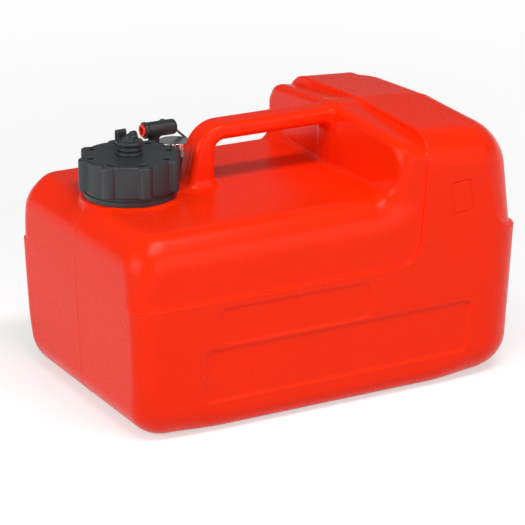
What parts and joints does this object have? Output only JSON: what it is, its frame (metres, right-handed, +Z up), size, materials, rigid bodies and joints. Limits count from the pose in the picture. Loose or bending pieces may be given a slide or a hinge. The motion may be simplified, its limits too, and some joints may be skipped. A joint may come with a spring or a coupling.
{
  "type": "outboard fuel tank",
  "caption": "Portable blow-moulded fuel tank with a carrying handle between a low deck and a rear hump, a vented screw cap, a float gauge and a plugged fuel outlet.",
  "frame": {"origin": "under the middle of the tank, on the surface it stands on", "axes": "+X along the tank from the filler cap to the rear hump, +Y to the side with the fuel fitting, +Z up"},
  "size_m": [0.3668, 0.2328, 0.2246],
  "materials": {
    "tank_red": "semi-gloss",
    "cap_black": "satin",
    "fitting_black": "satin",
    "seal_rubber": "matte",
    "screw_steel": "satin",
    "bezel_metal": "satin",
    "strip_metal": "satin",
    "clear_window": "clear",
    "drum_white": "satin",
    "float_foam": "matte",
    "plug_red": "gloss",
    "tube_white": "satin"
  },
  "bodies": {
    "tank": {"tank_shell": "tank_red", "withdrawal_flange": "fitting_black", "withdrawal_gasket": "seal_rubber", "flange_screws": "screw_steel", "outlet_elbow": "fitting_black", "outlet_strap": "fitting_black", "pickup_tube": "tube_white", "pickup_strainer": "tube_white", "gauge_seal": "seal_rubber", "gauge_window": "clear_window", "gauge_bezel": "bezel_metal", "gauge_frame": "fitting_black"},
    "cap_seal": {"cap_gasket": "seal_rubber"},
    "cap": {"cap_outer_shell": "cap_black", "cap_threaded_insert": "cap_black", "vent_stem": "cap_black", "vent_nut": "cap_black", "vent_strap": "cap_black"},
    "vent_washer": {"vent_seal": "seal_rubber"},
    "vent_screw": {"vent_knob": "cap_black"},
    "plug": {"outlet_plug": "plug_red"},
    "float": {"gauge_float": "float_foam"},
    "indicator": {"gauge_drum": "drum_white", "gauge_twisted_strip": "strip_metal"}
  },
  "joints": [
    {"name": "cap_rise", "type": "slide", "parent": "tank", "child": "cap_seal", "axis": [0, 0, 1], "range_m": [0, 0.012]},
    {"name": "cap_turn", "type": "hinge", "parent": "cap_seal", "child": "cap", "pos_m": [-0.1324, 0, 0.19], "axis": [0, 0, 1], "range_deg": [0, 720]},
    {"name": "vent_rise", "type": "slide", "parent": "cap", "child": "vent_washer", "axis": [0, 0, 1], "range_m": [0, 0.0015]},
    {"name": "vent_turn", "type": "hinge", "parent": "vent_washer", "child": "vent_screw", "pos_m": [-0.1324, 0, 0.21], "axis": [0, 0, 1], "range_deg": [0, 360]},
    {"name": "plug_pull", "type": "slide", "parent": "tank", "child": "plug", "axis": [-1, 0, 0], "range_m": [0, 0.025]},
    {"name": "float_rise", "type": "slide", "parent": "tank", "child": "float", "axis": [0, 0, 1], "range_m": [0, 0.1]},
    {"name": "indicator_turn", "type": "hinge", "parent": "tank", "child": "indicator", "pos_m": [-0.0656, 0.0524, 0.1], "axis": [0, 0, 1], "range_deg": [-202, 0]}
  ],
  "couplings": [
    {"joint": "cap_rise", "follows": "cap_turn", "m_per_rad": 0.0009549},
    {"joint": "vent_rise", "follows": "vent_turn", "m_per_rad": 0.0002387},
    {"joint": "indicator_turn", "follows": "float_rise", "rad_per_m": -35.171}
  ]
}
